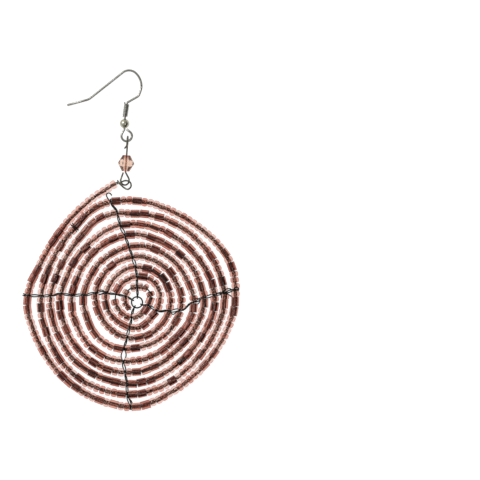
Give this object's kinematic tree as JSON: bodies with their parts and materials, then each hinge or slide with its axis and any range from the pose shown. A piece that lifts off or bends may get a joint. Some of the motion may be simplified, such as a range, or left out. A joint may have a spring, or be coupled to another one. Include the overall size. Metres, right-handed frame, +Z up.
{
  "type": "dangle earring of coiled seed beads on a french hook",
  "caption": "Flat disc of glass seed beads coiled on wire and tied by twisted spokes, hung from a small crystal link on a bent ear hook with a coil and a ball",
  "frame": {"origin": "centre of the bounding box in X and Y, on the surface that the earring lies on", "axes": "+X to the right and +Y from the disc towards the ear hook, as seen from above; +Z up, out of the disc's face"},
  "size_m": [0.0654, 0.1026, 0.0049],
  "materials": {
    "hook_steel": "polished, a little darkened",
    "dark_wire": "dull, dark grey",
    "crystal": "clear, faceted, peach",
    "bead_glass": "transparent pink with a dark metallic lining"
  },
  "bodies": {
    "root": {"ear_hook": "hook_steel", "hook_coil": "hook_steel", "hook_ball": "hook_steel", "link_wire": "hook_steel", "crystal_bead": "crystal", "end_loop": "dark_wire", "bead_string": "bead_glass", "hub_ring": "dark_wire", "spoke_top": "dark_wire", "spoke_right": "dark_wire", "spoke_bottom": "dark_wire", "spoke_left": "dark_wire"}
  },
  "joints": []
}
